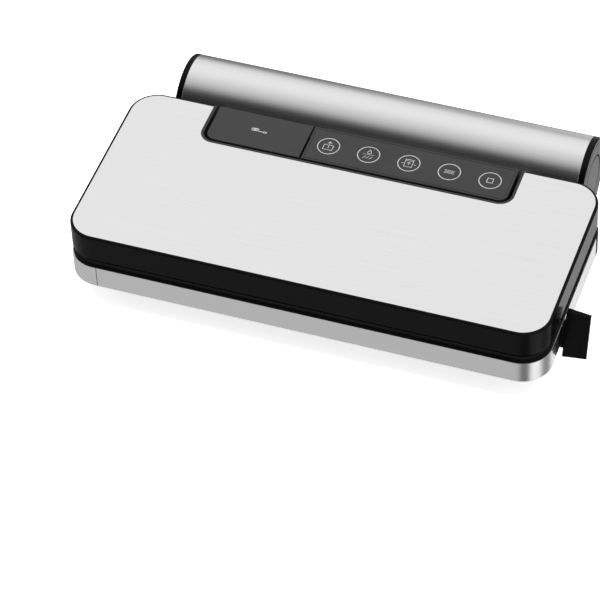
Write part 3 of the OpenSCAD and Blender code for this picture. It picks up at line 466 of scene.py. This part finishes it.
def draw_tube(mark):
    """A coiled tube with a nozzle: the plain sign on the compartment's flap."""
    for i in range(3):
        mark.line(arc_points((-4.6 + 1.5 * i, 0), 1.3, 0, 360, steps=28), width=0.4)
    mark.line([(-0.2, -1.3), (4.0, -1.3)], width=0.5)
    mark.line([(4.0, -2.0), (6.4, -1.7), (6.4, -0.9), (4.0, -0.6), (4.0, -2.0)], width=0.4)


KEY_MARKS = (draw_canister, draw_moist_or_dry, draw_bag_in, draw_seal_line, draw_stop)


def make_marks():
    """One mark on the middle of each key, and one on the flap."""
    for number, draw in enumerate(KEY_MARKS, 1):
        low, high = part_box(f"key_{number}")
        mark = Mark(f"key_mark_{number}", (low + high).xy / 2, high.z, KEY_MARK_SCALE)
        draw(mark)
        mark.finish(f"key_{number}_body")
    low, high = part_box("tube_flap")
    centre = (low + high).xy / 2
    mark = Mark("flap_mark", (centre.x + FLAP_MARK_RIGHT, centre.y + FLAP_MARK_BACK), high.z)
    draw_tube(mark)
    mark.finish("flap")


# ---------------------------------------------------------------- stage and light
FLOOR_SIZE = 6.0
FLOOR_GLOW = 0.75


def make_floor():
    """A plain pale floor that glows a little and isn't seen in reflections."""
    mesh = bpy.data.meshes.new("floor")
    form = bmesh.new()
    bmesh.ops.create_grid(form, x_segments=2, y_segments=2, size=FLOOR_SIZE)
    form.to_mesh(mesh)
    form.free()
    floor = bpy.data.objects.new("floor", mesh)
    bpy.context.scene.collection.objects.link(floor)
    skin = Shader("floor")
    skin.set(Specular_IOR_Level=0.1, Emission_Color=(1, 1, 1, 1), Emission_Strength=FLOOR_GLOW)
    skin.drive("Base Color", skin.tint(skin.noise(scale=2, detail=2), even(0.93), even(0.96)))
    skin.drive("Roughness", skin.span(skin.noise(scale=8, detail=2), 0.85, 0.95))
    mesh.materials.append(skin.material)
    floor.visible_glossy = False


# Brightness of the studio above and below the horizon. Each half is a ramp along its own axis:
# a direction's place on it is RAMP_MIDDLE plus the direction's dot product with the axis
RAMP_MIDDLE = 0.5

# Grey low down behind the table, brightest half way up behind it, a little darker overhead,
# and black in a spot 42 degrees up in front of it and to the left
SKY_AXIS = (-0.15, -0.34, 0.335)
SKY_STEPS = ((0.25, 0.42), (0.33, 0.76), (0.48, 0.87), (0.64, 0.9),
             (0.74, 0.83), (0.88, 0.62), (0.95, 0.37), (0.985, 0.0))

# Mid grey on the left and nearly black on the right, with a dark and a bright band between them
GROUND_AXIS = (0.64, 0.285, 0.0)
GROUND_STEPS = ((0.16, 0.5), (0.33, 0.47), (0.43, 0.14), (0.61, 0.14),
                (0.71, 0.95), (0.78, 1.0), (0.91, 1.0), (0.95, 0.35), (0.98, 0.08))

# Half the height over which the two halves blend, as the sine of the elevation
HORIZON_SOFTNESS = 0.08


def world_ramp(tree, coords, axis, steps):
    """Grey levels by direction, from (place on the ramp, level) steps."""
    along = tree.nodes.new("ShaderNodeVectorMath")
    along.operation = "DOT_PRODUCT"
    along.inputs[1].default_value = axis
    tree.links.new(coords, along.inputs[0])
    shift = tree.nodes.new("ShaderNodeMath")
    shift.inputs[1].default_value = RAMP_MIDDLE
    tree.links.new(along.outputs["Value"], shift.inputs[0])
    ramp = tree.nodes.new("ShaderNodeValToRGB")
    stops = ramp.color_ramp.elements
    while len(stops) < len(steps):
        stops.new(0.5)
    for stop, (place, level) in zip(stops, steps):
        stop.position = place
        stop.color = (level, level, level, 1)
    tree.links.new(shift.outputs[0], ramp.inputs["Fac"])
    return ramp.outputs["Color"]


def make_world():
    """The studio all round: the sky's ramp above the horizon and the ground's ramp below it."""
    world = bpy.data.worlds.new("studio")
    world.use_nodes = True
    tree = world.node_tree
    coords = tree.nodes.new("ShaderNodeTexCoord").outputs["Generated"]
    sky = world_ramp(tree, coords, SKY_AXIS, SKY_STEPS)
    ground = world_ramp(tree, coords, GROUND_AXIS, GROUND_STEPS)
    split = tree.nodes.new("ShaderNodeSeparateXYZ")
    tree.links.new(coords, split.inputs[0])
    rise = tree.nodes.new("ShaderNodeMapRange")
    rise.inputs["From Min"].default_value = -HORIZON_SOFTNESS
    rise.inputs["From Max"].default_value = HORIZON_SOFTNESS
    tree.links.new(split.outputs["Z"], rise.inputs["Value"])
    # In the Mix node's colour mode, inputs 6 and 7 are the two colours and output 2 is their mix
    mix = tree.nodes.new("ShaderNodeMix")
    mix.data_type = "RGBA"
    tree.links.new(rise.outputs["Result"], mix.inputs[0])
    tree.links.new(ground, mix.inputs[6])
    tree.links.new(sky, mix.inputs[7])
    tree.links.new(mix.outputs[2], tree.nodes["Background"].inputs["Color"])
    bpy.context.scene.world = world


TOP_LIGHT_PLACE = (0, 0.6, 2.4)
TOP_LIGHT_AIM = (0, 0, 0)
TOP_LIGHT_WIDTH = 3.2
TOP_LIGHT_DEPTH = 2.4
TOP_LIGHT_POWER = 75


def make_top_light():
    """A wide softbox overhead that isn't seen in reflections."""
    data = bpy.data.lights.new("top_light", "AREA")
    data.energy = TOP_LIGHT_POWER
    data.shape = "RECTANGLE"
    data.size = TOP_LIGHT_WIDTH
    data.size_y = TOP_LIGHT_DEPTH
    lamp = bpy.data.objects.new("top_light", data)
    lamp.location = TOP_LIGHT_PLACE
    lamp.visible_glossy = False
    aim = Vector(TOP_LIGHT_AIM) - Vector(TOP_LIGHT_PLACE)
    lamp.rotation_euler = aim.to_track_quat("-Z", "Y").to_euler()
    bpy.context.scene.collection.objects.link(lamp)


make_camera()
dress_nodes()
make_marks()
make_floor()
make_world()
make_top_light()
bpy.context.scene.view_settings.view_transform = "Standard"
